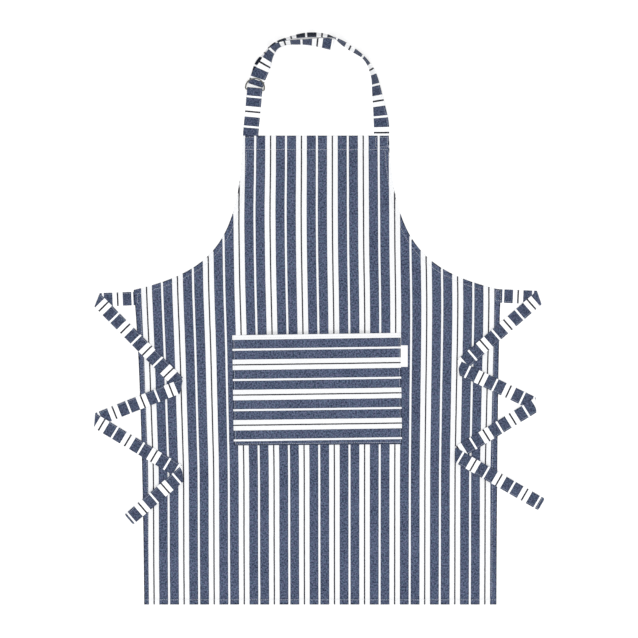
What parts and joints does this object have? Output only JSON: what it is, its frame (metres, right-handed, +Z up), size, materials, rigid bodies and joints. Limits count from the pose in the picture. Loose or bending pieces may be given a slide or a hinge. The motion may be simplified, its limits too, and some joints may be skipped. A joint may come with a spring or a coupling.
{
  "type": "bib apron",
  "caption": "Striped cotton bib apron lying flat, with a ring-adjusted neck loop, a front pocket, an edge label and two folded waist ties.",
  "frame": {"origin": "on the surface the apron lies on, under the middle of the overall box", "axes": "+X to the right as seen from above, +Y from the hem towards the bib and neck loop, +Z up out of the front face"},
  "size_m": [0.8381, 1.0644, 0.0485],
  "materials": {
    "striped_cotton": "heavy yarn-dyed cotton, navy and white stripes",
    "label_tape": "smooth white tape",
    "ring_metal": "bright nickel plated wire",
    "sewing_thread": "white sewing thread"
  },
  "bodies": {
    "apron": {"panel": "striped_cotton", "pocket_panel": "striped_cotton", "ring_strap_seam": "striped_cotton", "neck_strap_seam": "striped_cotton", "tie_left_seam": "striped_cotton", "tie_right_seam": "striped_cotton", "thread_bib_hem": "sewing_thread", "thread_armhole_left": "sewing_thread", "thread_armhole_right": "sewing_thread", "thread_side_left": "sewing_thread", "thread_side_right": "sewing_thread", "thread_bottom_hem": "sewing_thread", "thread_pocket_hem": "sewing_thread", "thread_pocket_edge": "sewing_thread", "thread_neck_strap": "sewing_thread", "thread_ring_strap": "sewing_thread", "thread_tie_left": "sewing_thread", "thread_tie_right": "sewing_thread"},
    "neck_loop": {"ring_strap": "striped_cotton", "neck_strap": "striped_cotton"},
    "front_ring": {"ring_front": "ring_metal"},
    "rear_ring": {"ring_rear": "ring_metal"},
    "label": {"label_loop": "label_tape"},
    "tie_left_first": {"tie_left_upper": "striped_cotton"},
    "tie_left_second": {"tie_left_lower": "striped_cotton"},
    "tie_left_third": {"tie_left_tail": "striped_cotton", "thread_tie_left_end": "sewing_thread"},
    "tie_right_first": {"tie_right_upper": "striped_cotton"},
    "tie_right_second": {"tie_right_lower": "striped_cotton"},
    "tie_right_third": {"tie_right_tail": "striped_cotton", "thread_tie_right_end": "sewing_thread"}
  },
  "joints": [
    {"name": "neck_fold", "type": "hinge", "parent": "apron", "child": "neck_loop", "pos_m": [0, 0.3426, 0.0024], "axis": [1, 0, 0], "range_deg": [0, 135]},
    {"name": "front_ring_swing", "type": "hinge", "parent": "neck_loop", "child": "front_ring", "pos_m": [-0.1194, 0.4262, 0.0078], "axis": [0.9957, -0.0924, 0], "range_deg": [0, 110]},
    {"name": "rear_ring_rock", "type": "hinge", "parent": "neck_loop", "child": "rear_ring", "pos_m": [-0.1194, 0.4262, 0.004], "axis": [0.9957, -0.0924, 0], "range_deg": [0, 2]},
    {"name": "label_flip", "type": "hinge", "parent": "apron", "child": "label", "pos_m": [0.1532, -0.069, 0.0026], "axis": [0, -1, 0], "range_deg": [0, 150]},
    {"name": "tie_left_upper_crease", "type": "hinge", "parent": "apron", "child": "tie_left_first", "pos_m": [-0.4127, 0.0354, 0.002], "axis": [-0.3686, -0.9296, 0], "range_deg": [0, 150]},
    {"name": "tie_left_middle_crease", "type": "hinge", "parent": "tie_left_first", "child": "tie_left_second", "pos_m": [-0.4173, -0.1887, 0.0026], "axis": [-0.0805, -0.9968, 0], "range_deg": [0, 170]},
    {"name": "tie_left_lower_crease", "type": "hinge", "parent": "tie_left_second", "child": "tie_left_third", "pos_m": [-0.2535, -0.2869, 0.00555], "axis": [-0.0847, 0.9964, 0], "range_deg": [0, 170]},
    {"name": "tie_right_upper_crease", "type": "hinge", "parent": "apron", "child": "tie_right_first", "pos_m": [0.4096, 0.0398, 0.002], "axis": [-0.3289, 0.9444, 0], "range_deg": [0, 150]},
    {"name": "tie_right_middle_crease", "type": "hinge", "parent": "tie_right_first", "child": "tie_right_second", "pos_m": [0.4038, -0.1596, 0.0026], "axis": [-0.0505, 0.9987, 0], "range_deg": [0, 170]},
    {"name": "tie_right_lower_crease", "type": "hinge", "parent": "tie_right_second", "child": "tie_right_third", "pos_m": [0.2526, -0.2521, 0.00555], "axis": [0.0132, -0.9999, 0], "range_deg": [0, 170]}
  ]
}
